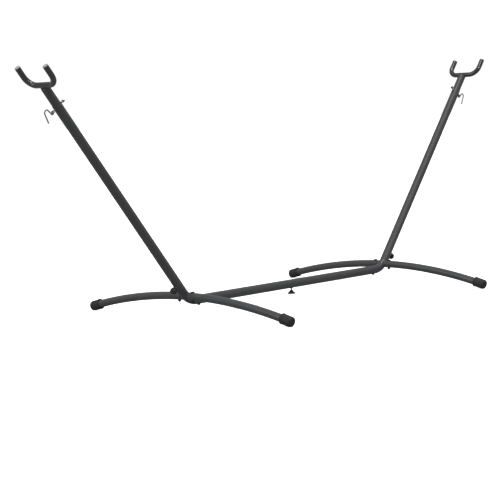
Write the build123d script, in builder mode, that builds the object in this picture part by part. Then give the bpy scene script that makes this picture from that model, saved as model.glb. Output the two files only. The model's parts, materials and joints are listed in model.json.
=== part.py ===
"""Knock-down steel stand for a hammock.

A low beam lies along X. An elbow at each end turns up into a leaning upright, and carries an
arched cross foot along Y. Each upright ends in a U-shaped fork, with an eye bolt and an S-hook
on its outer side. The origin is on the floor under the middle of the beam, +Z up.
"""

import os
from math import asin, atan2, cos, degrees, hypot, radians, sin, sqrt, tan

from build123d import *

os.makedirs("parts", exist_ok=True)

# ---------------------------------------------------------------- driving dimensions
# Millimetres and degrees. "Up" a piece means along its own axis.

# The whole stand
CORNER_X = 700.0  # from the middle to where the beam's and the upright's axes cross
LEAN = 38.5  # lean of the uprights from vertical
EYE_BOLT_UP = 1135.0  # from that corner up the upright to the eye bolt
CAP_MID_Y = 599.5  # from the middle out to the middle of each rubber cap

# Main tube: beam, elbows and uprights
TUBE_OD = 42.0
TUBE_WALL = 1.5
SLIP_FIT = 0.2  # radial gap where one tube slides into another
SPIGOT = 110.0  # how far a reduced tube end reaches into the next tube
WELD_GAP = 0.05  # root gap of a welded joint
EDGE_BREAK = 0.5

# Elbows
BEND_RADIUS = 105.0  # centre line
ELBOW_STRAIGHT = 3.0  # straight piece past each end of the bend
LEG_ON_BEND = 39.0  # degrees round the bend, from the beam, to the cross foot

# Beam
BEAM_SEAM_X = -60.0  # where the two halves meet; the reduced end reaches the same way past 0
SCREW_EDGE = 10.0  # from the end of each beam half to its screw

# Cross feet
LEG_ARC = 2490.0  # centre-line radius of the arched legs
LEG_OD = 36.0
LEG_WALL = 1.5
LEG_CLEAR = 3.0  # from the elbow's side to the end of each leg
CROSSBAR_REACH = 120.0  # from the middle to each end of the crossbar inside the legs
LEG_BOLT_Y = 42.0

# Rubber caps
CAP_WALL = 5.25
CAP_LENGTH = 58.0
CAP_ROUND = 9.0
CAP_END_WALL = 7.0
CAP_FIT = 0.25  # radial gap round the leg
CAP_RIM = 1.25  # how far the rim at the mouth stands out
CAP_RIM_WIDTH = 6.0
CAP_RIM_ROUND = 1.0
SOLE_DEPTH = 1.5  # how much of the round cap the flat sole takes off

# Forks
FORK_UP = 114.0  # from the eye bolt up to the axis of the fork's bar
FORK_OD = 25.0
FORK_WALL = 1.5
FORK_SPREAD = 176.0  # between the axes of the two prongs
FORK_HEIGHT = 95.0  # from the bar's axis to the ends of the prongs
FORK_BEND = 48.0  # centre line
NECK_INSERT = 70.0  # how far the neck reaches down the upright, from the eye bolt
UPRIGHT_TOP = 12.0  # from the eye bolt to the upper end of the upright
NECK_NOTCH = 3.0  # how deep the bar sits in the neck's end
NECK_END = 6.0  # thickness of the neck's closed end
NECK_ROUND = 4.0
PLUG_HEAD = 2.5
PLUG_STEM = 14.0
PLUG_FIT = 0.1
PLUG_INSET = 0.3  # how much smaller than the tube the plug's head is
PLUG_ROUND = 1.2

# M8 fasteners, drawn without threads
M8 = 4.0  # radius
HOLE_FIT = 0.3  # radial gap of a clearance hole
M8_THREAD_FIT = 0.08  # radial gap of a screw that turns in its nut
HEX_FLATS = 13.0
HEX_NUT = 6.5
HEX_EDGE = 0.6
DOME_HEAD_R = 10.0
DOME_HEAD = 5.0
DOME_ROUND = 4.4
BOLT_TAIL = 3.0  # thread past the nut
NUT_GAP = 0.05  # between a nut and the arched tube that it is tightened on
SCREW_HEAD_R = 7.5
SCREW_HEAD = 5.0
SCREW_ROUND = 2.5

# Eye bolts and S-hooks
EYE_WIRE = 2.5  # radius
EYE_RADIUS = 8.5  # centre line of the eye
EYE_STANDOFF = 0.3  # from the upright's side to the eye
EYE_NUT_STANDOFF = 14.0  # from the upright's side to the near face of the nut
HOOK_WIRE = 3.0  # radius
HOOK_LOOP = 6.2  # centre line of the closed loop round the eye
HOOK_LOOP_TURN = 250.0
HOOK_BOW = 12.0  # centre line of the open bow
HOOK_BOW_OUT = 28.4  # from the loop's centre out to the bow's centre
HOOK_BOW_UP = 1.0  # and up
HOOK_LEG_LEAN = 25.0  # of the hook's leg from vertical, back towards the upright
HOOK_LEG = 42.0
HOOK_END_ROUND = 1.5

# Clamp knobs
KNOB_UP = 100.0  # from the corner up the upright
KNOB_OD = 31.0
KNOB_HEAD = 16.0
KNOB_HUB_R = 9.0
KNOB_HUB = 7.0
KNOB_FLUTES = 8
KNOB_FLUTE_R = 3.6
KNOB_FLUTE_DEPTH = 1.8
KNOB_ROUND = 2.0
KNOB_STUD_IN = 12.0  # how far the stud is moulded into the knob
WASHER_R = 12.0
WASHER = 1.6
RUN_GAP = 0.3  # between pieces that move past each other
STUD_FIT = 0.5  # radial gap of the hole that the knob's stud passes
WELD_NUT_SEAT = 0.3  # how far a nut stands off the round wall that it is welded to

# Levelling foot under the middle of the beam
PAD_DROP = 27.6  # from the beam's underside down to the pad's face
PAD_R = 20.0
PAD_DISC = 5.0
PAD_HEIGHT = 18.0
PAD_NECK_R = 6.5
PAD_EDGE = 1.2
BUTTON_R = 5.5
BUTTON = 3.0
BUTTON_FLOOR = 3.0  # rubber under the stud's button end
FOOT_STUD = 56.0  # long enough to stay in its insert with the pad on the floor
INSERT_R = 6.0
INSERT_FLANGE_R = 8.0
INSERT_FLANGE = 1.2
INSERT_DEPTH = 10.0

# ---------------------------------------------------------------- worked out from those
tube_r = TUBE_OD / 2
tube_bore = tube_r - TUBE_WALL
spigot_r = tube_bore - SLIP_FIT
spigot_bore = spigot_r - TUBE_WALL

turn = 90.0 - LEAN
tangent = BEND_RADIUS * tan(radians(turn / 2))
arm = tangent + ELBOW_STRAIGHT

leg_r = LEG_OD / 2
cap_bore = leg_r + CAP_FIT
cap_r = cap_bore + CAP_WALL
crossbar_r = leg_r - LEG_WALL - SLIP_FIT
leg_x = CORNER_X - tangent + BEND_RADIUS * sin(radians(LEG_ON_BEND))
leg_lift = BEND_RADIUS * (1 - cos(radians(LEG_ON_BEND)))

cap_tilt = asin(CAP_MID_Y / LEG_ARC)
cap_flat = CAP_LENGTH / 2 - CAP_ROUND
cap_mid_z = cap_r * cos(cap_tilt) + cap_flat * sin(cap_tilt) - SOLE_DEPTH
arc_centre_z = cap_mid_z - LEG_ARC * cos(cap_tilt)
crown_z = arc_centre_z + LEG_ARC
beam_z = crown_z - leg_lift
leg_end = cap_tilt + (CAP_LENGTH / 2 - CAP_END_WALL - CAP_FIT) / LEG_ARC

eye_centre = tube_r + EYE_STANDOFF + EYE_RADIUS + EYE_WIRE
eye_outer = eye_centre + EYE_RADIUS
eye_nut_out = tube_r + EYE_NUT_STANDOFF
screw_x = CORNER_X - arm - SCREW_EDGE
pad_z = beam_z - tube_r - PAD_DROP
thread_bore = M8 + M8_THREAD_FIT
bolt_hole = M8 + HOLE_FIT
nut_corner = HEX_FLATS / sqrt(3)
nut_depth = sqrt(spigot_bore**2 - nut_corner**2)  # from a bore's axis to a nut on its wall

SIDES = {"left": -1, "right": 1}
ENDS = {"front": -1, "back": 1}


def finish(piece, name):
    """Label a finished piece and write it as its own file."""
    piece.part.label = name
    export_step(piece.part, f"parts/{name}.step")


def along(side):
    """Unit vector up an upright's axis."""
    return Vector(side * sin(radians(LEAN)), 0, cos(radians(LEAN)))


def outward(side):
    """Unit vector square to an upright, towards its outer side."""
    return Vector(side * cos(radians(LEAN)), 0, -sin(radians(LEAN)))


def on_upright(side, up, out=0.0):
    """Point up an upright's axis from the corner, and out from that axis."""
    return Vector(side * CORNER_X, 0, beam_z) + along(side) * up + outward(side) * out


def across_upright(side, up):
    """Plane square to an upright's axis, facing up it."""
    return Plane(on_upright(side, up), x_dir=(0, 1, 0), z_dir=along(side))


def beside_upright(side, up, out=0.0):
    """Plane along an upright's axis, facing its outer side."""
    return Plane(on_upright(side, up, out), x_dir=(0, 1, 0), z_dir=outward(side))


def leg_angle(y):
    """Angle round the leg's arc at a distance across the stand."""
    return asin(y / LEG_ARC)


def on_leg(side, angle, rise=0.0):
    """Plane on a leg's centre line, facing away from the arc's centre."""
    up = Vector(0, sin(angle), cos(angle))
    foot = Vector(side * leg_x, 0, arc_centre_z) + up * (LEG_ARC + rise)
    return Plane(foot, x_dir=(1, 0, 0), z_dir=up)


def arc_line(side, start, stop):
    """Stretch of a leg's centre line between two angles, to be drawn in a line block."""
    points = [on_leg(side, angle).origin for angle in (start, (start + stop) / 2, stop)]
    return ThreePointArc(*points)


def tube_section(outer, inner):
    """Ring-shaped section of a tube."""
    Circle(outer)
    Circle(inner, mode=Mode.SUBTRACT)


def nut_section(bore):
    """Hexagon section of a nut."""
    RegularPolygon(HEX_FLATS / 2, 6, major_radius=False)
    Circle(bore, mode=Mode.SUBTRACT)


# ---------------------------------------------------------------- beam
with BuildPart() as beam_left:
    with BuildSketch(Plane.YZ.offset(-(CORNER_X - arm))) as tube:
        with Locations((0, beam_z)):
            tube_section(tube_r, tube_bore)
    extrude(amount=CORNER_X - arm + BEAM_SEAM_X)
    with BuildSketch(Plane.YZ.offset(BEAM_SEAM_X - ELBOW_STRAIGHT)) as step:
        with Locations((0, beam_z)):
            tube_section(tube_r, spigot_bore)
    extrude(amount=ELBOW_STRAIGHT)
    with BuildSketch(Plane.YZ.offset(BEAM_SEAM_X)) as reduced_end:
        with Locations((0, beam_z)):
            tube_section(spigot_r, spigot_bore)
    extrude(amount=-2 * BEAM_SEAM_X)
    with BuildSketch(Plane.XY) as foot_hole:
        Circle(INSERT_R + WELD_GAP)
    extrude(amount=beam_z, mode=Mode.SUBTRACT)
    with BuildSketch(Plane.XY) as screw_hole:
        with Locations((-screw_x, 0)):
            Circle(bolt_hole)
    extrude(amount=beam_z, mode=Mode.SUBTRACT)
finish(beam_left, "beam_left")

with BuildPart() as beam_right:
    with BuildSketch(Plane.YZ.offset(BEAM_SEAM_X)) as tube:
        with Locations((0, beam_z)):
            tube_section(tube_r, tube_bore)
    extrude(amount=CORNER_X - arm - BEAM_SEAM_X)
    with BuildSketch(Plane.XY) as foot_and_screw_holes:
        Circle(INSERT_R + WELD_GAP)
        with Locations((screw_x, 0)):
            Circle(bolt_hole)
    extrude(amount=beam_z, mode=Mode.SUBTRACT)
finish(beam_right, "beam_right")


# ---------------------------------------------------------------- elbows and crossbars
def make_elbow(side):
    """Bent tube with a reduced end for the beam and one for the upright."""
    beam_end = Plane(
        (side * (CORNER_X - arm), 0, beam_z), x_dir=(0, 1, 0), z_dir=(-side, 0, 0)
    )
    with BuildPart() as elbow:
        with BuildLine() as centre_line:
            FilletPolyline(
                beam_end.origin,
                on_upright(side, 0),
                on_upright(side, arm),
                radius=BEND_RADIUS,
            )
        with BuildSketch(Plane(beam_end.origin, x_dir=(0, 1, 0), z_dir=(side, 0, 0))):
            tube_section(tube_r, tube_bore)
        sweep()
        for end in (beam_end, across_upright(side, arm)):
            with BuildSketch(end):
                tube_section(tube_r, spigot_bore)
            extrude(amount=-ELBOW_STRAIGHT)
            with BuildSketch(end):
                tube_section(spigot_r, spigot_bore)
            extrude(amount=SPIGOT)
        with BuildLine() as crossbar_line:
            arc_line(side, leg_angle(-CROSSBAR_REACH), leg_angle(CROSSBAR_REACH))
        with BuildSketch(Plane(crossbar_line.line @ 0, z_dir=crossbar_line.line % 0)):
            Circle(crossbar_r + WELD_GAP)
        sweep(mode=Mode.SUBTRACT)
        with BuildSketch(Plane.XY):
            with Locations((side * screw_x, 0)):
                Circle(bolt_hole)
        extrude(amount=beam_z, mode=Mode.SUBTRACT)
        with BuildSketch(beside_upright(side, KNOB_UP)):
            Circle(M8 + STUD_FIT)
        extrude(amount=tube_r, mode=Mode.SUBTRACT)
    return elbow


def make_crossbar(side):
    """Arched tube welded through the elbow; the legs slide over its ends."""
    with BuildPart() as crossbar:
        with BuildLine() as centre_line:
            arc_line(side, leg_angle(-CROSSBAR_REACH), leg_angle(CROSSBAR_REACH))
        with BuildSketch(Plane(centre_line.line @ 0, z_dir=centre_line.line % 0)):
            tube_section(crossbar_r, crossbar_r - LEG_WALL)
        sweep()
        for end in ENDS.values():
            with BuildSketch(on_leg(side, leg_angle(end * LEG_BOLT_Y))):
                Circle(bolt_hole)
            extrude(amount=leg_r, both=True, mode=Mode.SUBTRACT)
    return crossbar


def make_leg(side, end):
    """One arched half of a cross foot."""
    inner = leg_angle(end * (tube_r + LEG_CLEAR))
    with BuildPart() as leg:
        with BuildLine() as centre_line:
            arc_line(side, inner, end * leg_end)
        with BuildSketch(Plane(centre_line.line @ 0, z_dir=centre_line.line % 0)):
            tube_section(leg_r, leg_r - LEG_WALL)
        sweep()
        with BuildSketch(on_leg(side, leg_angle(end * LEG_BOLT_Y))):
            Circle(bolt_hole)
        extrude(amount=LEG_OD, both=True, mode=Mode.SUBTRACT)
    return leg


def make_cap(side, end):
    """Rubber cap over the end of a leg, with a flat sole on the floor."""
    axis = Vector(0, end * cos(cap_tilt), -sin(cap_tilt))
    middle = Vector(side * leg_x, end * CAP_MID_Y, cap_mid_z)
    mouth = Plane(middle - axis * (CAP_LENGTH / 2), x_dir=(1, 0, 0), z_dir=axis)
    with BuildPart() as cap:
        with BuildSketch(mouth):
            Circle(cap_r)
        extrude(amount=CAP_LENGTH)
        fillet(cap.edges().sort_by(Axis(mouth.origin, axis))[-1], CAP_ROUND)
        with BuildSketch(mouth):
            Circle(cap_r + CAP_RIM)
        extrude(amount=CAP_RIM_WIDTH)
        rim = cap.edges().filter_by(GeomType.CIRCLE).group_by(SortBy.RADIUS)[-1]
        fillet(rim, CAP_RIM_ROUND)
        with BuildSketch(mouth):
            Circle(cap_bore)
        extrude(amount=CAP_LENGTH - CAP_END_WALL, mode=Mode.SUBTRACT)
        split(bisect_by=Plane.XY, keep=Keep.TOP)
    return cap


for side_name, side in SIDES.items():
    finish(make_elbow(side), f"elbow_{side_name}")
    finish(make_crossbar(side), f"crossbar_{side_name}")
    for end_name, end in ENDS.items():
        finish(make_leg(side, end), f"leg_{side_name}_{end_name}")
        finish(make_cap(side, end), f"cap_{side_name}_{end_name}")

# ---------------------------------------------------------------- foot and beam fasteners
leg_bolt_length = LEG_OD + HEX_NUT + BOLT_TAIL

with BuildPart() as leg_bolts:
    for side in SIDES.values():
        for end in ENDS.values():
            with BuildSketch(on_leg(side, leg_angle(end * LEG_BOLT_Y), leg_r)):
                Circle(DOME_HEAD_R)
            extrude(amount=DOME_HEAD)
    crowns = leg_bolts.faces().filter_by(GeomType.PLANE).group_by(Axis.Z)[-1].edges()
    fillet(crowns, DOME_ROUND)
    for side in SIDES.values():
        for end in ENDS.values():
            with BuildSketch(on_leg(side, leg_angle(end * LEG_BOLT_Y), leg_r)):
                Circle(M8)
            extrude(amount=-leg_bolt_length)
finish(leg_bolts, "leg_bolts")

with BuildPart() as leg_nuts:
    for side in SIDES.values():
        for end in ENDS.values():
            with BuildSketch(on_leg(side, leg_angle(end * LEG_BOLT_Y), -leg_r - NUT_GAP)):
                nut_section(M8)
            extrude(amount=-HEX_NUT)
finish(leg_nuts, "leg_nuts")

weld_nut_low = beam_z - nut_depth + WELD_NUT_SEAT

with BuildPart() as beam_screws:
    for side in SIDES.values():
        with Locations((side * screw_x, 0, beam_z - tube_r - SCREW_HEAD)):
            Cylinder(SCREW_HEAD_R, SCREW_HEAD, align=(Align.CENTER, Align.CENTER, Align.MIN))
    heads = beam_screws.edges().group_by(Axis.Z)[0]
    fillet(heads, SCREW_ROUND)
    with BuildSketch(Plane.XY.offset(beam_z - tube_r)):
        with Locations((-screw_x, 0), (screw_x, 0)):
            Circle(M8)
    extrude(amount=weld_nut_low + HEX_NUT - (beam_z - tube_r))
finish(beam_screws, "beam_screws")

with BuildPart() as beam_nuts:
    with BuildSketch(Plane.XY.offset(weld_nut_low)):
        with Locations((-screw_x, 0), (screw_x, 0)):
            nut_section(M8)
    extrude(amount=HEX_NUT)
finish(beam_nuts, "beam_nuts")


# ---------------------------------------------------------------- uprights and forks
def make_upright(side):
    """Straight tube from the elbow to just past the eye bolt."""
    with BuildPart() as upright:
        with BuildSketch(across_upright(side, arm)):
            tube_section(tube_r, tube_bore)
        extrude(amount=EYE_BOLT_UP + UPRIGHT_TOP - arm)
        outer_edges = upright.edges().filter_by(GeomType.CIRCLE).group_by(SortBy.RADIUS)[-1]
        chamfer(outer_edges, EDGE_BREAK)
        with BuildSketch(beside_upright(side, KNOB_UP)):
            Circle(M8 + STUD_FIT)
        extrude(amount=TUBE_OD, mode=Mode.SUBTRACT)
        with BuildSketch(beside_upright(side, EYE_BOLT_UP)):
            Circle(bolt_hole)
        extrude(amount=TUBE_OD, both=True, mode=Mode.SUBTRACT)
    return upright


def make_neck(side):
    """Reduced tube in the upright's upper end, closed where the fork is welded on."""
    top = EYE_BOLT_UP + FORK_UP - FORK_OD / 2 + NECK_NOTCH
    bottom = EYE_BOLT_UP - NECK_INSERT
    with BuildPart() as neck:
        with BuildSketch(across_upright(side, bottom)):
            Circle(spigot_r)
        extrude(amount=top - bottom)
        upper_rim = neck.edges().sort_by(Axis(on_upright(side, 0), along(side)))[-1]
        fillet(upper_rim, NECK_ROUND)
        with BuildSketch(across_upright(side, bottom)):
            Circle(spigot_bore)
        extrude(amount=top - NECK_END - bottom, mode=Mode.SUBTRACT)
        with BuildSketch(Plane.XZ):
            with Locations(Plane.XZ.to_local_coords(on_upright(side, EYE_BOLT_UP + FORK_UP))):
                Circle(FORK_OD / 2 + WELD_GAP)
        extrude(amount=TUBE_OD, both=True, mode=Mode.SUBTRACT)
        with BuildSketch(beside_upright(side, EYE_BOLT_UP)):
            Circle(bolt_hole)
        extrude(amount=TUBE_OD, both=True, mode=Mode.SUBTRACT)
    return neck


def prong_end(side, end):
    """Plane on the end of a fork's prong, facing out of the tube."""
    tip = on_upright(side, EYE_BOLT_UP + FORK_UP + FORK_HEIGHT)
    tip += Vector(0, end * FORK_SPREAD / 2, 0)
    return Plane(tip, x_dir=(0, 1, 0), z_dir=along(side))


def make_fork(side):
    """U-shaped tube across the top of an upright."""
    bar = on_upright(side, EYE_BOLT_UP + FORK_UP)
    half = Vector(0, FORK_SPREAD / 2, 0)
    with BuildPart() as fork:
        with BuildLine() as centre_line:
            FilletPolyline(
                prong_end(side, -1).origin,
                bar - half,
                bar + half,
                prong_end(side, 1).origin,
                radius=FORK_BEND,
            )
        with BuildSketch(Plane(centre_line.line @ 0, z_dir=centre_line.line % 0)):
            tube_section(FORK_OD / 2, FORK_OD / 2 - FORK_WALL)
        sweep()
    return fork


def make_plug(side, end):
    """Moulded plug in the end of a prong."""
    with BuildPart() as plug:
        with BuildSketch(prong_end(side, end)):
            Circle(FORK_OD / 2 - PLUG_INSET)
        extrude(amount=PLUG_HEAD)
        fillet(plug.edges().sort_by(Axis((0, 0, 0), along(side)))[-1], PLUG_ROUND)
        with BuildSketch(prong_end(side, end)):
            Circle(FORK_OD / 2 - FORK_WALL - PLUG_FIT)
        extrude(amount=-PLUG_STEM)
    return plug


for side_name, side in SIDES.items():
    finish(make_upright(side), f"upright_{side_name}")
    finish(make_neck(side), f"neck_{side_name}")
    finish(make_fork(side), f"fork_{side_name}")
    for end_name, end in ENDS.items():
        finish(make_plug(side, end), f"plug_{side_name}_{end_name}")


# ---------------------------------------------------------------- eye bolts and S-hooks
def make_eye_bolt(side):
    """Eye on the outer side of the upright, with a plain shank through it."""
    ring_centre = on_upright(side, EYE_BOLT_UP, eye_centre)
    ring_wire = on_upright(side, EYE_BOLT_UP, eye_outer)
    with BuildPart() as eye_bolt:
        with BuildSketch(Plane(ring_wire, x_dir=outward(side), z_dir=(0, 1, 0))):
            Circle(EYE_WIRE)
        revolve(axis=Axis(ring_centre, along(side)))
        with BuildSketch(beside_upright(side, EYE_BOLT_UP, eye_centre - EYE_RADIUS)):
            Circle(M8)
        extrude(amount=-(eye_centre - EYE_RADIUS + eye_nut_out + HEX_NUT + BOLT_TAIL / 2))
    return eye_bolt


def make_eye_nut(side):
    """Nut on the inner end of the eye bolt."""
    with BuildPart() as eye_nut:
        with BuildSketch(beside_upright(side, EYE_BOLT_UP, -eye_nut_out)):
            nut_section(M8)
        extrude(amount=-HEX_NUT)
    return eye_nut


def make_hook(side):
    """Round wire: closed loop on the eye, straight shank, open bow and straight leg."""
    loop_centre = on_upright(side, EYE_BOLT_UP, eye_outer)
    wire_plane = Plane(loop_centre, x_dir=(side, 0, 0), z_dir=(0, -side, 0))
    span = hypot(HOOK_BOW_OUT, HOOK_BOW_UP)
    crossing = degrees(asin((HOOK_LOOP + HOOK_BOW) / span))
    heading = degrees(atan2(HOOK_BOW_UP, HOOK_BOW_OUT)) + crossing
    leg_heading = -90.0 - HOOK_LEG_LEAN
    with BuildPart() as hook:
        with BuildLine(wire_plane) as wire:
            loop = CenterArc(
                (0, 0), HOOK_LOOP, heading - 90.0 - HOOK_LOOP_TURN, HOOK_LOOP_TURN
            )
            bow = CenterArc(
                (HOOK_BOW_OUT, HOOK_BOW_UP), HOOK_BOW, heading + 90.0, leg_heading - heading
            )
            Line(loop @ 1, bow @ 0)
            PolarLine(bow @ 1, HOOK_LEG, leg_heading)
        with BuildSketch(Plane(wire.line @ 0, z_dir=wire.line % 0)):
            Circle(HOOK_WIRE)
        sweep()
        tips = hook.faces().filter_by(GeomType.PLANE).edges()
        fillet(tips, HOOK_END_ROUND)
    return hook


for side_name, side in SIDES.items():
    finish(make_eye_bolt(side), f"eye_bolt_{side_name}")
    finish(make_eye_nut(side), f"eye_nut_{side_name}")
    finish(make_hook(side), f"s_hook_{side_name}")

# ---------------------------------------------------------------- clamp knobs
washer_out = tube_r + RUN_GAP
hub_out = washer_out + WASHER + RUN_GAP
head_out = hub_out + KNOB_HUB
knob_nut_out = nut_depth - WELD_NUT_SEAT - HEX_NUT
flute_ring = KNOB_OD / 2 + KNOB_FLUTE_R - KNOB_FLUTE_DEPTH


def make_knob(side):
    """Fluted moulded knob with a round hub."""
    with BuildPart() as knob:
        with BuildSketch(beside_upright(side, KNOB_UP, head_out)):
            Circle(KNOB_OD / 2)
            with PolarLocations(flute_ring, KNOB_FLUTES):
                Circle(KNOB_FLUTE_R, mode=Mode.SUBTRACT)
        extrude(amount=KNOB_HEAD)
        axis = Axis(on_upright(side, KNOB_UP), outward(side))
        fillet(knob.faces().sort_by(axis)[-1].edges(), KNOB_ROUND)
        fillet(knob.faces().sort_by(axis)[0].edges(), KNOB_ROUND / 2)
        with BuildSketch(beside_upright(side, KNOB_UP, hub_out)):
            Circle(KNOB_HUB_R)
        extrude(amount=KNOB_HUB)
        with BuildSketch(beside_upright(side, KNOB_UP, hub_out)):
            Circle(M8)
        extrude(amount=KNOB_STUD_IN, mode=Mode.SUBTRACT)
    return knob


def make_knob_stud(side):
    """Plain stud from inside the knob to the nut in the elbow's reduced end."""
    tip = knob_nut_out - BOLT_TAIL / 2
    with BuildPart() as stud:
        with BuildSketch(beside_upright(side, KNOB_UP, tip)):
            Circle(M8)
        extrude(amount=hub_out + KNOB_STUD_IN - tip)
        tip_edge = stud.edges().sort_by(Axis(on_upright(side, KNOB_UP), outward(side)))[0]
        chamfer(tip_edge, EDGE_BREAK)
    return stud


def make_knob_washer(side):
    """Flat washer between the knob and the upright."""
    with BuildPart() as washer:
        with BuildSketch(beside_upright(side, KNOB_UP, washer_out)):
            tube_section(WASHER_R, M8 + RUN_GAP)
        extrude(amount=WASHER)
    return washer


def make_knob_nut(side):
    """Nut welded inside the elbow's reduced end."""
    with BuildPart() as nut:
        with BuildSketch(beside_upright(side, KNOB_UP, knob_nut_out)):
            nut_section(thread_bore)
        extrude(amount=HEX_NUT)
    return nut


for side_name, side in SIDES.items():
    finish(make_knob(side), f"knob_{side_name}")
    finish(make_knob_stud(side), f"knob_stud_{side_name}")
    finish(make_knob_washer(side), f"knob_washer_{side_name}")
    finish(make_knob_nut(side), f"knob_nut_{side_name}")

# ---------------------------------------------------------------- levelling foot
underside = beam_z - tube_r
button_z = pad_z + BUTTON_FLOOR

with BuildPart() as foot_pad:
    with BuildSketch(Plane.XZ) as half_section:
        with BuildLine():
            Polyline((0, pad_z), (PAD_R, pad_z), (PAD_R, pad_z + PAD_DISC))
            flare_low = (PAD_R, pad_z + PAD_DISC)
            flare_high = (PAD_NECK_R, pad_z + PAD_HEIGHT)
            RadiusArc(flare_low, flare_high, PAD_R)
            Polyline(flare_high, (0, pad_z + PAD_HEIGHT), (0, pad_z))
        make_face()
    revolve(axis=Axis.Z)
    fillet(foot_pad.faces().sort_by(Axis.Z)[0].edges(), PAD_EDGE)
    with BuildSketch(Plane.XY.offset(button_z - RUN_GAP)):
        Circle(BUTTON_R + RUN_GAP)
    extrude(amount=BUTTON + 2 * RUN_GAP, mode=Mode.SUBTRACT)
    with BuildSketch(Plane.XY.offset(button_z)):
        Circle(thread_bore)
    extrude(amount=PAD_HEIGHT, mode=Mode.SUBTRACT)
finish(foot_pad, "foot_pad")

with BuildPart() as foot_stud:
    with BuildSketch(Plane.XY.offset(button_z)):
        Circle(BUTTON_R)
    extrude(amount=BUTTON)
    with BuildSketch(Plane.XY.offset(button_z)):
        Circle(M8)
    extrude(amount=FOOT_STUD)
    chamfer(foot_stud.edges().sort_by(Axis.Z)[-1], EDGE_BREAK)
finish(foot_stud, "foot_stud")

with BuildPart() as foot_insert:
    with BuildSketch(Plane.XY.offset(underside - INSERT_FLANGE)):
        tube_section(INSERT_FLANGE_R, thread_bore)
    extrude(amount=INSERT_FLANGE)
    with BuildSketch(Plane.XY.offset(underside - INSERT_FLANGE)):
        tube_section(INSERT_R, thread_bore)
    extrude(amount=INSERT_FLANGE + INSERT_DEPTH)
finish(foot_insert, "foot_insert")

print(f"beam axis {beam_z:.2f} above the floor, leg crown {crown_z:.2f}, legs at x {leg_x:.2f}")
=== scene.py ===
"""Looks of a knock-down steel stand for a hammock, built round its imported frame.

The script follows the stand as it is put together: beam, elbows, cross feet, caps, uprights,
forks, eye bolts with their hooks, clamp knobs and the levelling foot. The studio comes last.
"""

import json
from math import asin, cos, hypot, pi, radians, sin, sqrt, tau

import bmesh
import bpy
from mathutils import Matrix, Vector, noise

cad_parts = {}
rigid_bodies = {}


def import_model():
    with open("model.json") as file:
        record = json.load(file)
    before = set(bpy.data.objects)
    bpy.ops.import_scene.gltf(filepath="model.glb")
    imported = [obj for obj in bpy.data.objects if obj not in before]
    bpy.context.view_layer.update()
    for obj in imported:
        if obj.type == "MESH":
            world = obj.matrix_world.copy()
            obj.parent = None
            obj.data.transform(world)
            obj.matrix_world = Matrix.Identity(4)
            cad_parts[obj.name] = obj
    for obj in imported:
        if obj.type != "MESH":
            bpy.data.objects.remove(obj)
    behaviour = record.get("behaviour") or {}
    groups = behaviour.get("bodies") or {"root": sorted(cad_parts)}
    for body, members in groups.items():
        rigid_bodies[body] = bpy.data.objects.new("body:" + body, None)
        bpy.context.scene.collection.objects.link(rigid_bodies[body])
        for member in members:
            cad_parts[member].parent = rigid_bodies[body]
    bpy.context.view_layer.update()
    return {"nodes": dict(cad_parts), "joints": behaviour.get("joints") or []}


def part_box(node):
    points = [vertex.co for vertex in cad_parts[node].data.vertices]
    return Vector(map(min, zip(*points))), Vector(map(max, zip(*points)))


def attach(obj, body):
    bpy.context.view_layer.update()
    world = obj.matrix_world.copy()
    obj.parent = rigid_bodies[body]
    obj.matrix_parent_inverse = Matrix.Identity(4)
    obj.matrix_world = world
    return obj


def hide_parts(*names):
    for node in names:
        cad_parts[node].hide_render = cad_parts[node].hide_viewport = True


for leftover in list(bpy.data.objects):
    bpy.data.objects.remove(leftover)
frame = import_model()

# ------------------------------------------------------------------ beam
# Two lengths of 42 mm steel tube, one of them reduced to slip into the other. Like the rest of
# the frame they are powder-coated charcoal: a satin skin with a fine orange peel, baked on.
mm = 0.001
SIDES = {"left": -1, "right": 1}
ENDS = {"front": -1, "back": 1}


class Shade:
    """One socket of a finish. Sums written with it add the nodes that work them out."""

    def __init__(self, tree, socket=None):
        self.tree = tree
        self.socket = socket

    def node(self, kind, settings=None, sockets=None, output=0):
        """Add a node: its settings first, then the values or links of its sockets."""
        made = self.tree.nodes.new("ShaderNode" + kind)
        for name, value in (settings or {}).items():
            setattr(made, name, value)
        for name, value in (sockets or {}).items():
            if isinstance(value, Shade):
                self.tree.links.new(value.socket, made.inputs[name])
            else:
                made.inputs[name].default_value = value
        return Shade(self.tree, made.outputs[output])

    def sum(self, operation, *terms):
        """Math node on numbers and sockets."""
        return self.node("Math", {"operation": operation}, dict(enumerate(terms)))

    def __add__(self, other):
        return self.sum("ADD", self, other)

    def __radd__(self, other):
        return self.sum("ADD", other, self)

    def __sub__(self, other):
        return self.sum("SUBTRACT", self, other)

    def __rsub__(self, other):
        return self.sum("SUBTRACT", other, self)

    def __mul__(self, other):
        return self.sum("MULTIPLY", self, other)

    def __rmul__(self, other):
        return self.sum("MULTIPLY", other, self)

    def noise(self, width, detail=2.0):
        """Even mottle at this place, with lumps about as wide as given."""
        return self.node("TexNoise", {}, {"Vector": self, "Scale": 1 / width, "Detail": detail})

    def step(self, low, high):
        """0 below low, 1 above high and a smooth rise between them."""
        settings = {"interpolation_type": "SMOOTHSTEP"}
        return self.node("MapRange", settings, {"Value": self, "From Min": low, "From Max": high})

    def between(self, first, second):
        """Colour from first to second, with this value as the share of the second."""
        first, second = [c if isinstance(c, Shade) else (*c, 1) for c in (first, second)]
        return self.node("Mix", {"data_type": "RGBA"}, {0: self, 6: first, 7: second}, 2)

    def relief(self, depth, under=None):
        """Surface direction of a relief this deep, on top of another one."""
        sockets = {"Height": self, "Distance": depth}
        if under:
            sockets["Normal"] = under
        return self.node("Bump", {}, sockets, "Normal")


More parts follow.
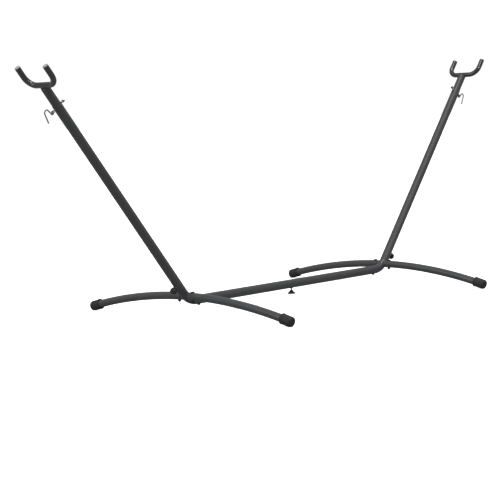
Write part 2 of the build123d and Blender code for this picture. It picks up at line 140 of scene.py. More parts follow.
def start_finish(name, fixed):
    """New finish with its fixed values set on the shader, and the place on the piece."""
    finish = bpy.data.materials.new(name)
    finish.use_nodes = True
    shader = finish.node_tree.nodes["Principled BSDF"]
    for socket, value in fixed.items():
        shader.inputs[socket].default_value = value
    place = Shade(finish.node_tree).node("TexCoord", output="Object")
    return finish, place


def lay_on(finish, varying):
    """Link what varies over the surface to the finish's shader."""
    shader = finish.node_tree.nodes["Principled BSDF"]
    for socket, shade in varying.items():
        finish.node_tree.links.new(shade.socket, shader.inputs[socket])


def powder_coat(name, dark, light, roughness, fixed):
    """Baked powder coat: orange peel over a fine grain, with faint rubbed patches."""
    finish, place = start_finish(name, fixed)
    peel = place.noise(1.7 * mm)
    grain = place.noise(0.35 * mm, 1.0)
    cloud = place.noise(45 * mm)
    rubbed = place.noise(9 * mm, 5.0).step(0.56, 0.72) * cloud.step(0.45, 0.6)
    tone = cloud * 0.5 + grain * 0.3 + rubbed * 0.35
    lay_on(
        finish,
        {
            "Base Color": tone.between(dark, light),
            "Roughness": roughness + peel * 0.06 - rubbed * 0.1,
            "Normal": grain.relief(0.006 * mm, peel.relief(0.03 * mm)),
        },
    )
    return finish


frame_coat = powder_coat(
    "frame_coat",
    (0.046, 0.047, 0.050),
    (0.080, 0.082, 0.087),
    0.40,
    {"Specular IOR Level": 0.3, "Coat Weight": 0.3, "Coat Roughness": 0.12},
)


def dress(node, finish):
    """Give a carried-over CAD node its finish."""
    frame["nodes"][node].material_slots[0].material = finish


for side in SIDES:
    dress(f"beam_{side}", frame_coat)

# ------------------------------------------------------------------ elbows and crossbars
# Each elbow is the same tube, bent, with a short arched crossbar welded through it for the legs.
# The weld is one hand-run bead of ripples round each side, coated over with the tube.
CROSSBAR_R = 16.3 * mm
TUBE_R = 21 * mm
BEND_R = 105 * mm
BEAD_R = 1.9 * mm
RIPPLE = 1.5 * mm

crossbar_low, crossbar_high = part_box("crossbar_right")
leg_x = (crossbar_low.x + crossbar_high.x) / 2
crown_z = crossbar_high.z - CROSSBAR_R
INSERT_FLANGE = 1.2 * mm  # under the beam, round the levelling foot
beam_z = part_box("foot_insert")[0].z + INSERT_FLANGE + TUBE_R


def skin(mesh, rings, closed=False):
    """Join rings of points into one skin. A ring of one point closes that end."""
    loops = [[mesh.verts.new(point) for point in ring] for ring in rings]
    pairs = list(zip(loops, loops[1:]))
    if closed:
        pairs.append((loops[-1], loops[0]))
    for first, second in pairs:
        steps = max(len(first), len(second))
        for step in range(steps):
            after = (step + 1) % steps
            corners = [first[step % len(first)], first[after % len(first)]]
            corners += [second[after % len(second)], second[step % len(second)]]
            face = list(dict.fromkeys(corners))
            if len(face) > 2:
                mesh.faces.new(face)


def fit(name, mesh, finish, slot, body, *replaced, crease=32):
    """Turn a finished mesh into a piece of the stand and fix it to its body."""
    bmesh.ops.recalc_face_normals(mesh, faces=mesh.faces)
    data = bpy.data.meshes.new(name)
    mesh.to_mesh(data)
    mesh.free()
    data.materials.append(finish)
    data.shade_smooth()
    data.set_sharp_from_angle(angle=radians(crease))
    piece = bpy.data.objects.new(name, data)
    bpy.context.scene.collection.objects.link(piece)
    if replaced:
        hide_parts(*replaced)
    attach(piece, body)
    return piece


def lay_bead(mesh, path, axis, radius):
    """Weld bead along a closed path round an axis, heaped up in uneven ripples."""
    rings = []
    run = 0.0
    for index, point in enumerate(path):
        ahead = path[(index + 1) % len(path)]
        tangent = (ahead - path[index - 1]).normalized()
        run += (ahead - point).length
        width = axis.cross(tangent).normalized()
        height = tangent.cross(width)
        ripple = 0.1 * abs(sin(pi * run / RIPPLE)) + 0.12 * noise.noise(point / (5 * mm))
        girth = radius * (0.9 + ripple)
        rings.append([point + (width * cos(a) + height * sin(a)) * girth for a in turns(14)])
    skin(mesh, rings, closed=True)


def turns(steps):
    """Evenly spaced angles of one full turn."""
    return [tau * step / steps for step in range(steps)]


LEG_ON_BEND = 39.0  # degrees round the bend to the crossbar
BEND_START = leg_x - BEND_R * sin(radians(LEG_ON_BEND))

for name, side in SIDES.items():
    dress(f"elbow_{name}", frame_coat)
    dress(f"crossbar_{name}", frame_coat)
    welds = bmesh.new()
    for end in ENDS.values():
        path = []
        for angle in turns(260):
            x = leg_x + CROSSBAR_R * cos(angle)
            z = crown_z + CROSSBAR_R * sin(angle)
            off_line = hypot(x - BEND_START, z - beam_z - BEND_R) - BEND_R
            y = sqrt(TUBE_R**2 - off_line**2)
            path.append(Vector((side * x, end * y, z)))
        lay_bead(welds, path, Vector((0, 1, 0)), BEAD_R)
    fit(f"elbow_welds_{name}", welds, frame_coat, "frame_coat", "stand", crease=60)

# ------------------------------------------------------------------ cross feet
# Each cross foot is two arched legs of 36 mm tube that slide over the crossbar's ends. A dome
# head bolt drops through each leg and its nut is run up underneath, both black zinc plated.
LEG_R = 18 * mm
LEG_ARC = 2490 * mm
LEG_BOLT_Y = 42 * mm
THREAD_R = 4 * mm
PITCH = 1.25 * mm
THREAD_DEPTH = 0.6 * mm
NUT_FLATS = 13 * mm
NUT_HEIGHT = 6.5 * mm
NUT_GAP = 0.05 * mm
TAIL = 3 * mm
SOCKET_FLATS = 5 * mm
DOME_R = 10 * mm
DOME_HEIGHT = 5 * mm

for side in SIDES:
    for end in ENDS:
        dress(f"leg_{side}_{end}", frame_coat)


def plated(name, dark, light, roughness, metallic, depth):
    """Plated steel: a dulled metal film with faint clouds and fine drawing marks."""
    finish, place = start_finish(name, {"Metallic": metallic, "Specular IOR Level": 0.5})
    cloud = place.noise(6 * mm, 4.0)
    speck = place.noise(0.4 * mm, 2.0)
    stain = place.noise(3 * mm, 3.0).step(0.55, 0.75)
    lay_on(
        finish,
        {
            "Base Color": (cloud * 0.8 + speck * 0.25 - stain * 0.35).between(dark, light),
            "Roughness": roughness + cloud * 0.14 + stain * 0.12,
            "Normal": speck.relief(depth),
        },
    )
    return finish


black_plate = plated("black_plate", (0.018, 0.018, 0.019), (0.05, 0.05, 0.052), 0.28, 0.55, 0.008 * mm)


def square_to(centre, axis, beside=Vector((0, 1, 0))):
    """Place with its Z along an axis and its X towards a direction beside it."""
    up = axis.normalized()
    across = (beside - up * beside.dot(up)).normalized()
    turn = Matrix((across, up.cross(across), up)).transposed()
    return Matrix.Translation(centre) @ turn.to_4x4()


def ring(place, radius, height, steps=48):
    """Round or shaped ring of points; the radius may be a function of the angle."""
    if radius == 0:
        return [place @ Vector((0, 0, height))]
    reach = radius if callable(radius) else lambda angle: radius
    return [place @ Vector((cos(a) * reach(a), sin(a) * reach(a), height)) for a in turns(steps)]


def turned(mesh, place, profile, steps=48, closed=False):
    """Skin of a profile of (radius, height) points, turned round a place's Z."""
    skin(mesh, [ring(place, radius, height, steps) for radius, height in profile], closed)


def hexagon(flats):
    """Reach of a hexagon this wide over its flats, at any angle."""
    return lambda angle: flats / 2 / cos((angle + pi / 6) % (pi / 3) - pi / 6)


def cut_thread(mesh, place, low, high, radius=THREAD_R, steps=28):
    """Rolled thread between two heights of a place, faded out at both ends."""
    root = radius - THREAD_DEPTH
    section = ((root, 0.0), (root, 0.15), (radius, 0.45), (radius, 0.7))
    rows = []
    for turn in range(-steps, int((high - low) / PITCH * steps) + 1):
        row = []
        for reach, share in section:
            height = low + PITCH * (turn / steps + share)
            if height <= low or height >= high:
                reach = root
            height = min(max(height, low), high)
            angle = tau * turn / steps
            spot = Vector((reach * cos(angle), reach * sin(angle), height))
            row.append(mesh.verts.new(place @ spot))
        rows.append(row)
    for index in range(len(rows) - 1):
        here, ahead = rows[index], rows[index + 1]
        for part in range(3):
            mesh.faces.new((here[part], ahead[part], ahead[part + 1], here[part + 1]))
        if index + steps + 1 < len(rows):
            upper, upper_ahead = rows[index + steps], rows[index + steps + 1]
            mesh.faces.new((here[3], ahead[3], upper_ahead[0], upper[0]))
    new = [vert for row in rows for vert in row]
    bmesh.ops.remove_doubles(mesh, verts=new, dist=0.001 * mm)
    rim = [edge for edge in mesh.edges if edge.is_boundary]
    bmesh.ops.holes_fill(mesh, edges=rim, sides=0)


def hex_nut(mesh, place, height=NUT_HEIGHT, flats=NUT_FLATS, steps=72):
    """Nut with both faces chamfered round, so that its corners end in low arcs."""
    face_r = flats / 2 * 0.97
    reach = hexagon(flats)

    def chamfered(side, top):
        """Ring round the flats at the chamfer's lower edge."""
        points = []
        for angle in turns(steps):
            drop = max(reach(angle) - face_r, 0) * 0.5
            points.append(
                place @ Vector((cos(angle) * reach(angle), sin(angle) * reach(angle), top - side * drop))
            )
        return points

    bore = THREAD_R - THREAD_DEPTH * 0.6
    rings = [
        ring(place, bore, 0.6 * mm, steps),
        ring(place, THREAD_R + 0.3 * mm, 0, steps),
        ring(place, face_r, 0, steps),
        chamfered(-1, 0),
        chamfered(1, height),
        ring(place, face_r, height, steps),
        ring(place, THREAD_R + 0.3 * mm, height, steps),
        ring(place, bore, height - 0.6 * mm, steps),
    ]
    skin(mesh, rings, closed=True)


def dome_head(mesh, place, radius, height, edge):
    """Low domed head with a hexagon socket, seated on the place's XY plane."""
    profile = [(0, 0), (radius - 0.5 * mm, 0), (radius, 0.5 * mm), (radius, edge)]
    crown = SOCKET_FLATS / 2 * 1.35
    for step in range(1, 9):
        lean = pi / 2 * step / 8
        profile.append((crown + (radius - crown) * cos(lean), edge + (height - edge) * sin(lean)))
    rings = [ring(place, *point) for point in profile]
    socket = hexagon(SOCKET_FLATS)
    rings.append(ring(place, socket, height - 0.3 * mm))
    rings.append(ring(place, socket, height - 2.6 * mm))
    rings.append(ring(place, 0, height - 3.4 * mm))
    skin(mesh, rings)


bolts = bmesh.new()
nuts = bmesh.new()
for side in SIDES.values():
    for end in ENDS.values():
        angle = asin(end * LEG_BOLT_Y / LEG_ARC)
        up = Vector((0, sin(angle), cos(angle)))
        centre = Vector((side * leg_x, 0, crown_z - LEG_ARC)) + up * LEG_ARC
        head_place = square_to(centre + up * LEG_R, up)
        dome_head(bolts, head_place, DOME_R, DOME_HEIGHT, 0.6 * mm)
        cut_thread(bolts, head_place, -2 * LEG_R - NUT_HEIGHT - TAIL, 0.3 * mm)
        hex_nut(nuts, square_to(centre - up * (LEG_R + NUT_GAP), -up))
fit("leg_bolts_domed", bolts, black_plate, "black_plate", "stand", "leg_bolts")
fit("leg_nuts_chamfered", nuts, black_plate, "black_plate", "stand", "leg_nuts")

# ------------------------------------------------------------------ rubber caps
# A moulded rubber cap is pushed over the end of each leg. It has a thicker rim at its mouth, a
# thin line where the mould halves met, a gate mark in the middle of its end and a grooved sole.
CAP_R = 23.5 * mm
CAP_RIM_R = 24.75 * mm
CAP_RIM_WIDTH = 6 * mm
CAP_LENGTH = 58 * mm
CAP_BORE = 18.25 * mm
CAP_BORE_DEPTH = 51 * mm
CAP_ROUND = 9 * mm
CAP_MID_Y = 599.5 * mm
SEAM_RISE = 0.18 * mm
GROOVE = 0.8 * mm

cap_tilt = asin(CAP_MID_Y / LEG_ARC)
cap_mid_z = crown_z - LEG_ARC * (1 - cos(cap_tilt))

rubber, place = start_finish("rubber", {"Specular IOR Level": 0.32})
bloom = place.noise(14 * mm, 4.0)
leather = place.noise(0.5 * mm, 3.0)
height = place.node("SeparateXYZ", {}, {0: place}, "Z")
dusty = (1 - height.step(0, 9 * mm)) * place.noise(4 * mm, 4.0).step(0.35, 0.6)
black_rubber = (bloom * 0.7 + leather * 0.3).between((0.016, 0.016, 0.017), (0.036, 0.036, 0.037))
lay_on(
    rubber,
    {
        "Base Color": (dusty * 0.45).between(black_rubber, (0.09, 0.085, 0.078)),
        "Roughness": 0.56 + bloom * 0.16 + dusty * 0.15,
        "Normal": leather.relief(0.03 * mm),
    },
)

rim_edge = 1.1 * mm
cap_profile = [
    (0, CAP_BORE_DEPTH),
    (CAP_BORE, CAP_BORE_DEPTH),
    (CAP_BORE, 0.8 * mm),
    (CAP_BORE + 0.8 * mm, 0),
    (CAP_RIM_R - rim_edge, 0),
    (CAP_RIM_R - rim_edge * 0.3, rim_edge * 0.3),
    (CAP_RIM_R, rim_edge),
    (CAP_RIM_R, CAP_RIM_WIDTH - rim_edge),
    (CAP_RIM_R - rim_edge * 0.3, CAP_RIM_WIDTH - rim_edge * 0.3),
    (CAP_R, CAP_RIM_WIDTH),
]
cap_profile += [(CAP_R, CAP_RIM_WIDTH + step * 2 * mm) for step in range(1, 22)]
for step in range(10):
    lean = pi / 2 * step / 9
    cap_profile.append(
        (CAP_R - CAP_ROUND * (1 - cos(lean)), CAP_LENGTH - CAP_ROUND * (1 - sin(lean)))
    )
gate_marks = ((9, 0), (3.2, 0), (2.8, 0.5), (1.2, 0.5), (0.9, 0.2), (0, 0.2))
cap_profile += [(radius * mm, CAP_LENGTH - drop * mm) for radius, drop in gate_marks]

for side_name, side in SIDES.items():
    for end_name, end in ENDS.items():
        axis = Vector((0, end * cos(cap_tilt), -sin(cap_tilt)))
        middle = Vector((side * leg_x, end * CAP_MID_Y, cap_mid_z))
        mouth = square_to(middle - axis * CAP_LENGTH / 2, axis, Vector((1, 0, 0)))
        rings = []
        for row, (radius, depth) in enumerate(cap_profile):
            outside = row > 5 and radius > CAP_BORE
            points = ring(mouth, radius, depth, 96)
            if outside and depth > CAP_RIM_WIDTH:
                for seam in (0, 48):
                    outwards = points[seam] - mouth @ Vector((0, 0, depth))
                    points[seam] += outwards.normalized() * SEAM_RISE
            sole_z = GROOVE if row > 9 and row % 4 < 2 else 0.0
            rings.append([Vector((p.x, p.y, max(p.z, sole_z))) if outside else p for p in points])
        cap = bmesh.new()
        skin(cap, rings)
        name = f"cap_{side_name}_{end_name}"
        fit(f"{name}_moulded", cap, rubber, "rubber", "stand", name)

# ------------------------------------------------------------------ beam screws
# One low-head socket screw comes up through the beam into each elbow's reduced end, where a nut
# is welded. Only the screw's black head shows, under the beam beside the elbow.
SCREW_HEAD_R = 7.5 * mm
SCREW_HEAD = 5 * mm
screw_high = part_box("beam_screws")[1]
screw_x = screw_high.x - SCREW_HEAD_R

screws = bmesh.new()
for side in SIDES.values():
    head_place = square_to(Vector((side * screw_x, 0, beam_z - TUBE_R)), Vector((0, 0, -1)))
    dome_head(screws, head_place, SCREW_HEAD_R - 0.05 * mm, SCREW_HEAD, 1.6 * mm)
    cut_thread(screws, head_place, beam_z - TUBE_R - screw_high.z, 0.3 * mm)
fit("beam_screws_socketed", screws, black_plate, "black_plate", "stand", "beam_screws")

zinc_plate = plated("zinc_plate", (0.23, 0.225, 0.21), (0.44, 0.432, 0.41), 0.32, 1.0, 0.01 * mm)
dress("beam_nuts", zinc_plate)

# ------------------------------------------------------------------ uprights and necks
# Each upright is one straight length of 42 mm tube, pushed down over the elbow's reduced end.
# Its neck, a reduced tube held by the eye bolt, carries the fork.
joints = {joint["name"]: joint for joint in frame["joints"]}
KNOB_UP = 100 * mm
KNOB_JOINT_OUT = 40 * mm
EYE_BOLT_UP = 1135 * mm
FORK_UP = 114 * mm  # from the eye bolt up to the bar of the fork


def beside_upright(side, up, out=0.0):
    """Point up an upright's axis from its corner, and out from that axis."""
    joint = joints[f"knob_{side}_turn"]
    outward = Vector(joint["axis"])
    along = outward.cross(Vector((0, SIDES[side], 0)))
    return Vector(joint["pos_m"]) + along * (up - KNOB_UP) + outward * (out - KNOB_JOINT_OUT)


directions = {}
for name, side in SIDES.items():
    outward = Vector(joints[f"knob_{name}_turn"]["axis"])
    directions[name] = (outward.cross(Vector((0, side, 0))), outward)
    dress(f"upright_{name}", frame_coat)
    dress(f"neck_{name}", frame_coat)

# ------------------------------------------------------------------ forks
# A U of 25 mm tube is welded across each neck and coated gloss black. A light grey plug, moulded
# with a raised ring and a small dimple, closes the end of each prong.
FORK_R = 12.5 * mm
FORK_WALL = 1.5 * mm
NECK_R = 19.3 * mm
NECK_NOTCH = 3 * mm
FORK_BEAD_R = 1.7 * mm
PLUG_R = 12.2 * mm
PLUG_HEAD = 2.5 * mm
PLUG_STEM = 14 * mm
PLUG_FIT = 0.1 * mm
PRONG_HEIGHT = 95 * mm  # from the bar of the U to the ends of its prongs
PRONG_Y = 88 * mm

fork_coat = powder_coat(
    "fork_coat",
    (0.015, 0.015, 0.016),
    (0.030, 0.030, 0.033),
    0.24,
    {"Specular IOR Level": 0.5, "Coat Weight": 0.8, "Coat Roughness": 0.07},
)

plug_plastic, place = start_finish("plug_plastic", {"Specular IOR Level": 0.45})
flow = place.noise(8 * mm, 4.0)
matt = place.noise(0.3 * mm, 2.0)
lay_on(
    plug_plastic,
    {
        "Base Color": (flow * 0.7 + matt * 0.3).between((0.30, 0.315, 0.33), (0.46, 0.475, 0.49)),
        "Roughness": 0.36 + flow * 0.14,
        "Normal": matt.relief(0.012 * mm),
    },
)

notch_half = sqrt(FORK_R**2 - (FORK_R - NECK_NOTCH) ** 2)
plug_profile = [
    (0, -PLUG_STEM),
    (FORK_R - FORK_WALL - 0.8 * mm, -PLUG_STEM),
    (FORK_R - FORK_WALL - PLUG_FIT, -PLUG_STEM + 1.2 * mm),
    (FORK_R - FORK_WALL - PLUG_FIT, 0),
    (PLUG_R, 0),
    (PLUG_R, PLUG_HEAD * 0.5),
    (PLUG_R - 0.3 * mm, PLUG_HEAD * 0.76),
    (PLUG_R - 1.1 * mm, PLUG_HEAD * 0.94),
    (PLUG_R - 2.2 * mm, PLUG_HEAD),
    (PLUG_R - 3.4 * mm, PLUG_HEAD * 0.97),
    (PLUG_R - 3.9 * mm, PLUG_HEAD * 0.8),
    (2.2 * mm, PLUG_HEAD * 0.8),
    (1.5 * mm, PLUG_HEAD * 0.55),
    (0, PLUG_HEAD * 0.5),
]

for name, side in SIDES.items():
    dress(f"fork_{name}", fork_coat)
    along, outward = directions[name]
    bar = beside_upright(name, EYE_BOLT_UP + FORK_UP)
    path = []
    for angle in turns(200):
        out = NECK_R * cos(angle)
        across = NECK_R * sin(angle)
        if abs(out) > notch_half:
            out = notch_half if out > 0 else -notch_half
            across *= sqrt(NECK_R**2 - notch_half**2) / max(abs(across), sqrt(NECK_R**2 - notch_half**2))
        up = -sqrt(FORK_R**2 - out**2)
        path.append(bar + outward * out + Vector((0, 1, 0)) * across + along * up)
    weld = bmesh.new()
    lay_bead(weld, path, along, FORK_BEAD_R)
    fit(f"fork_weld_{name}", weld, fork_coat, "fork_coat", "stand", crease=60)
    for end in ENDS:
        tip = bar + along * PRONG_HEIGHT + Vector((0, ENDS[end] * PRONG_Y, 0))
        plug = bmesh.new()
        turned(plug, square_to(tip, along), plug_profile, 56)
        node = f"plug_{name}_{end}"
        fit(f"{node}_moulded", plug, plug_plastic, "plug_plastic", "stand", node)

# ------------------------------------------------------------------ eye bolts and hooks
# A zinc-plated eye bolt passes through each upright and its neck, with the eye on the outer side
# and a nut some way down its thread on the inner side. An S-hook of 6 mm wire hangs in the eye.
EYE_R = 8.5 * mm
EYE_WIRE = 2.5 * mm
EYE_GAP = 0.3 * mm
EYE_CENTRE_OUT = TUBE_R + EYE_GAP + EYE_R + EYE_WIRE
EYE_NUT_STANDOFF = 14 * mm
EYE_NUT_OUT = TUBE_R + EYE_NUT_STANDOFF

for name in SIDES:
    along, outward = directions[name]
    eye_centre = beside_upright(name, EYE_BOLT_UP, EYE_CENTRE_OUT)
    eye_bolt = bmesh.new()
    ring_rows = []
    for angle in turns(64):
        spoke = outward * cos(angle) + Vector((0, 1, 0)) * sin(angle)
        row = []
        for a in turns(20):
            row.append(eye_centre + spoke * (EYE_R + EYE_WIRE * cos(a)) + along * EYE_WIRE * sin(a))
        ring_rows.append(row)
    skin(eye_bolt, ring_rows, closed=True)
    axis_place = square_to(beside_upright(name, EYE_BOLT_UP), -outward)
    shoulder = -EYE_CENTRE_OUT + EYE_R
    collar = [
        (0, shoulder - 1.2 * mm),
        (2.2 * mm, shoulder - 1.1 * mm),
        (2.7 * mm, shoulder + 0.6 * mm),
        (3.4 * mm, shoulder + 2.6 * mm),
        (3.9 * mm, shoulder + 4.5 * mm),
        (3.9 * mm, -TUBE_R + 6 * mm),
        (0, -TUBE_R + 6 * mm),
    ]
    turned(eye_bolt, axis_place, collar, 32)
    cut_thread(eye_bolt, axis_place, -TUBE_R + 5 * mm, EYE_NUT_OUT + NUT_HEIGHT + TAIL / 2)
    fit(f"eye_bolt_{name}_threaded", eye_bolt, zinc_plate, "zinc_plate", "stand", f"eye_bolt_{name}")
    eye_nut = bmesh.new()
    hex_nut(eye_nut, square_to(beside_upright(name, EYE_BOLT_UP, -EYE_NUT_OUT), -outward))
    fit(f"eye_nut_{name}_chamfered", eye_nut, zinc_plate, "zinc_plate", "stand", f"eye_nut_{name}")
    dress(f"s_hook_{name}", zinc_plate)

# ------------------------------------------------------------------ clamp knobs
# A fluted black knob, moulded round the head of its stud, draws the upright tight on the elbow.
# The stud runs in a nut welded inside the elbow, over one plain washer.
KNOB_R = 15.5 * mm
KNOB_FLUTES = 8
FLUTE_DEPTH = 1.8 * mm
HUB_R = 9 * mm
RUN_GAP = 0.3 * mm
WASHER_R = 12 * mm
WASHER = 1.6 * mm
HUB_OUT = TUBE_R + RUN_GAP + WASHER + RUN_GAP
HUB = 7 * mm
HEAD = 16 * mm
STUD_IN = 12 * mm

knob_plastic, place = start_finish("knob_plastic", {"Specular IOR Level": 0.4})
flow = place.noise(7 * mm, 3.0)
spark = place.noise(0.28 * mm, 2.0)
lay_on(
    knob_plastic,
    {
        "Base Color": (flow * 0.6 + spark * 0.4).between((0.010, 0.010, 0.011), (0.028, 0.028, 0.030)),
        "Roughness": 0.40 + flow * 0.12 + spark * 0.08,
        "Normal": spark.relief(0.022 * mm),
    },
)


def fluted(reach, share=1.0):
    """Reach of the knob's outline at any angle, with a share of the flutes' depth."""
    return lambda angle: reach - share * FLUTE_DEPTH * (0.5 + 0.5 * cos(KNOB_FLUTES * angle)) ** 2.2


for name in SIDES:
    along, outward = directions[name]
    knob_place = square_to(beside_upright(name, KNOB_UP, HUB_OUT), outward)
    knob = bmesh.new()
    outline = [
        (0, 0, 0),
        (HUB_R - 0.6 * mm, 0, 0),
        (HUB_R, 0.6 * mm, 0),
        (HUB_R - 0.4 * mm, HUB - 1 * mm, 0),
        (HUB_R + 0.6 * mm, HUB, 0),
        (KNOB_R - 2.4 * mm, HUB, 0.6),
        (KNOB_R - 0.8 * mm, HUB + 0.3 * mm, 0.9),
        (KNOB_R - 0.15 * mm, HUB + 1 * mm, 1),
        (KNOB_R, HUB + 2 * mm, 1),
        (KNOB_R, HUB + HEAD - 3 * mm, 1),
        (KNOB_R - 0.25 * mm, HUB + HEAD - 1.7 * mm, 1),
        (KNOB_R - 0.9 * mm, HUB + HEAD - 0.7 * mm, 0.95),
        (KNOB_R - 1.9 * mm, HUB + HEAD - 0.15 * mm, 0.8),
        (KNOB_R - 3.2 * mm, HUB + HEAD, 0.45),
        (KNOB_R - 4.6 * mm, HUB + HEAD - 0.2 * mm, 0),
        (KNOB_R - 5.4 * mm, HUB + HEAD - 1.0 * mm, 0),
        (4 * mm, HUB + HEAD - 1.5 * mm, 0),
        (1.2 * mm, HUB + HEAD - 1.2 * mm, 0),
        (0, HUB + HEAD - 1.2 * mm, 0),
    ]
    knob_rings = []
    for reach, height, share in outline:
        knob_rings.append(ring(knob_place, fluted(reach, share) if share else reach, height, 128))
    skin(knob, knob_rings)
    body = f"knob_{name}"
    fit(f"{body}_fluted", knob, knob_plastic, "knob_plastic", body, body, crease=50)

    stud = bmesh.new()
    cut_thread(stud, knob_place, -(HUB_OUT - 4.5 * mm), STUD_IN)
    node = f"knob_stud_{name}"
    fit(f"{node}_threaded", stud, zinc_plate, "zinc_plate", body, node)

    washer = bmesh.new()
    edge = 0.25 * mm
    washer_profile = [
        (THREAD_R + 0.3 * mm, 0),
        (WASHER_R - edge * 2, 0),
        (WASHER_R, edge),
        (WASHER_R, WASHER - edge * 1.6),
        (WASHER_R - edge * 1.6, WASHER),
        (THREAD_R + 0.3 * mm, WASHER),
    ]
    washer_place = square_to(beside_upright(name, KNOB_UP, TUBE_R + RUN_GAP), outward)
    turned(washer, washer_place, washer_profile, 64, closed=True)
    node = f"knob_washer_{name}"
    fit(f"{node}_stamped", washer, zinc_plate, "zinc_plate", node, node)
    dress(f"knob_nut_{name}", zinc_plate)

# ------------------------------------------------------------------ levelling foot
# A threaded stud with a flared rubber pad screws up into a flanged insert under the middle of the
# beam. The stud's button end turns inside the pad, whose face is moulded with rings.
PAD_R = 20 * mm
PAD_DISC = 5 * mm
PAD_HEIGHT = 18 * mm
PAD_NECK_R = 6.5 * mm
PAD_FLARE = 20 * mm
BUTTON_FLOOR = 3 * mm
BUTTON_R = 5.5 * mm
BUTTON = 3 * mm
INSERT_R = 6 * mm
INSERT_FLANGE_R = 8 * mm

pad_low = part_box("foot_pad")[0]
pad_place = Matrix.Translation((0, 0, pad_low.z))
pad_profile = [(0, BUTTON_FLOOR - RUN_GAP), (0, GROOVE)]
for land in (4, 8, 12, 16):
    inner, outer = land * mm, (land + 2.2) * mm
    pad_profile += [(inner - 0.5 * mm, GROOVE), (inner, 0), (outer, 0), (outer + 0.5 * mm, GROOVE)]
pad_profile += [(PAD_R - 1 * mm, GROOVE), (PAD_R - 0.3 * mm, GROOVE + 0.3 * mm), (PAD_R, 2 * mm)]
pad_profile += [(PAD_R, PAD_DISC - 1 * mm), (PAD_R - 0.3 * mm, PAD_DISC - 0.3 * mm)]
rise = PAD_HEIGHT - PAD_DISC
run = PAD_R - PAD_NECK_R
reach = hypot(rise, run)
sag = PAD_FLARE - sqrt(PAD_FLARE**2 - (reach / 2) ** 2)
for step in range(1, 16):
    share = step / 16
    bow = sag * (1 - (2 * share - 1) ** 2)
    pad_profile.append(
        (PAD_R - run * share - bow * rise / reach, PAD_DISC + rise * share - bow * run / reach)
    )
pad_profile += [
    (PAD_NECK_R, PAD_HEIGHT - 1 * mm),
    (PAD_NECK_R - 0.3 * mm, PAD_HEIGHT - 0.3 * mm),
    (PAD_NECK_R - 1 * mm, PAD_HEIGHT),
    (THREAD_R + 0.1 * mm, PAD_HEIGHT),
    (THREAD_R + 0.1 * mm, BUTTON_FLOOR + BUTTON + RUN_GAP),
    (BUTTON_R + RUN_GAP, BUTTON_FLOOR + BUTTON + RUN_GAP),
    (BUTTON_R + RUN_GAP, BUTTON_FLOOR - RUN_GAP),
    (0, BUTTON_FLOOR - RUN_GAP),
]
pad = bmesh.new()
turned(pad, pad_place, pad_profile[1:], 80)
fit("foot_pad_moulded", pad, rubber, "rubber", "foot_pad", "foot_pad")

stud_low, stud_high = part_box("foot_stud")
stud = bmesh.new()
stud_place = Matrix.Translation((0, 0, stud_low.z))
button_profile = [
    (0, 0),
    (BUTTON_R - 0.5 * mm, 0),
    (BUTTON_R, 0.5 * mm),
    (BUTTON_R, BUTTON - 0.5 * mm),
    (BUTTON_R - 0.5 * mm, BUTTON),
    (0, BUTTON),
]
turned(stud, stud_place, button_profile, 40)
cut_thread(stud, stud_place, BUTTON - 0.2 * mm, stud_high.z - stud_low.z)
fit("foot_stud_threaded", stud, zinc_plate, "zinc_plate", "foot_stud", "foot_stud")

insert_low, insert_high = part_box("foot_insert")
insert_place = Matrix.Translation((0, 0, insert_low.z))
insert_bore = THREAD_R + 0.08 * mm
insert_top = insert_high.z - insert_low.z
insert_profile = [
    (insert_bore, 0.4 * mm),
    (insert_bore + 0.5 * mm, 0),
    (INSERT_FLANGE_R - 0.4 * mm, 0),
    (INSERT_FLANGE_R, 0.4 * mm),
    (INSERT_FLANGE_R, INSERT_FLANGE),
    (INSERT_R, INSERT_FLANGE),
    (INSERT_R, insert_top - 0.6 * mm),
    (INSERT_R - 0.6 * mm, insert_top),
    (insert_bore, insert_top),
]
insert = bmesh.new()
turned(insert, insert_place, insert_profile, 56, closed=True)
fit("foot_insert_flanged", insert, zinc_plate, "zinc_plate", "stand", "foot_insert")

# ------------------------------------------------------------------ studio
# A white floor that runs out of sight under a white sky, a key light to the right of the camera,
# a wide fill to its left, another overhead and a long lens a good way back. Floor and sky are
# white only as the lens sees them: they light the stand more dimly, so that it keeps its tone.
FLOOR_HALF = 60.0
FLOOR_GAP = 0.2 * mm
CAMERA_SPOT = Vector((-5.6588, -4.9692, 0.9405))
CAMERA_YAW = -47.26
CAMERA_PITCH = -5.27
CAMERA_ROLL = -2.35
LENS = 113.43

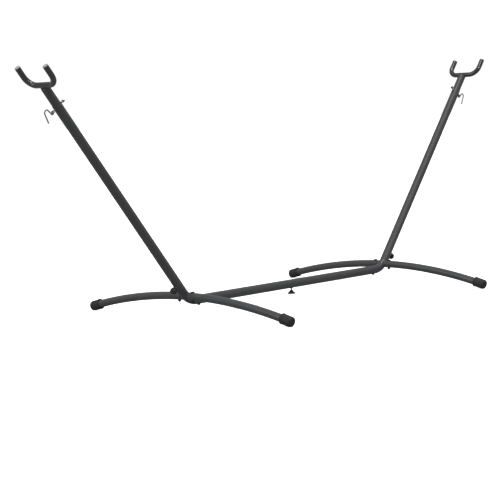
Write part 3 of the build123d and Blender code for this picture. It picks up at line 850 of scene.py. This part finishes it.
floor_mesh = bmesh.new()
for x, y in ((-1, -1), (1, -1), (1, 1), (-1, 1)):
    floor_mesh.verts.new((x * FLOOR_HALF, y * FLOOR_HALF, -FLOOR_GAP))
floor_mesh.faces.new(floor_mesh.verts[:])
floor_data = bpy.data.meshes.new("studio_floor")
floor_mesh.to_mesh(floor_data)
floor_mesh.free()
floor = bpy.data.objects.new("studio_floor", floor_data)
bpy.context.scene.collection.objects.link(floor)
floor_white, place = start_finish(
    "floor_white",
    {"Roughness": 0.9, "Specular IOR Level": 0.1, "Emission Strength": 0.75},
)
pale = place.noise(2.0).between((0.86, 0.86, 0.85), (0.88, 0.88, 0.87))
in_view = place.node("LightPath", output="Is Camera Ray")
lay_on(
    floor_white,
    {
        "Base Color": in_view.between((0.32, 0.32, 0.32), pale),
        "Emission Color": in_view.between((0, 0, 0), (1, 1, 1)),
    },
)
floor_data.materials.append(floor_white)

world = bpy.data.worlds.new("white_sky")
bpy.context.scene.world = world
world.use_nodes = True
sky = world.node_tree.nodes["Background"]
sky.inputs["Color"].default_value = (1.0, 1.0, 0.99, 1)
seen = Shade(world.node_tree).node("LightPath", output="Is Camera Ray")
world.node_tree.links.new((0.38 + seen * 0.67).socket, sky.inputs["Strength"])


def add_sun(name, strength, spread, yaw, height):
    """Far soft light, turned from the camera's own direction and raised by two angles."""
    light = bpy.data.lights.new(name, "SUN")
    light.energy = strength
    light.angle = radians(spread)
    sun = bpy.data.objects.new(name, light)
    facing = Matrix.Rotation(radians(CAMERA_YAW + yaw), 4, "Z")
    sun.matrix_world = facing @ Matrix.Rotation(radians(90 - height), 4, "X")
    bpy.context.scene.collection.objects.link(sun)


add_sun("key_light", 0.5, 6, 28, 38)
add_sun("fill_light", 0.7, 40, -60, 25)
add_sun("top_light", 1.6, 30, 20, 78)

lens = bpy.data.cameras.new("camera")
lens.lens = LENS
lens.clip_end = 300.0
camera = bpy.data.objects.new("camera", lens)
camera.matrix_world = (
    Matrix.Translation(CAMERA_SPOT)
    @ Matrix.Rotation(radians(CAMERA_YAW), 4, "Z")
    @ Matrix.Rotation(radians(90 + CAMERA_PITCH), 4, "X")
    @ Matrix.Rotation(radians(CAMERA_ROLL), 4, "Z")
)
bpy.context.scene.collection.objects.link(camera)
bpy.context.scene.camera = camera
bpy.context.scene.view_settings.view_transform = "Standard"
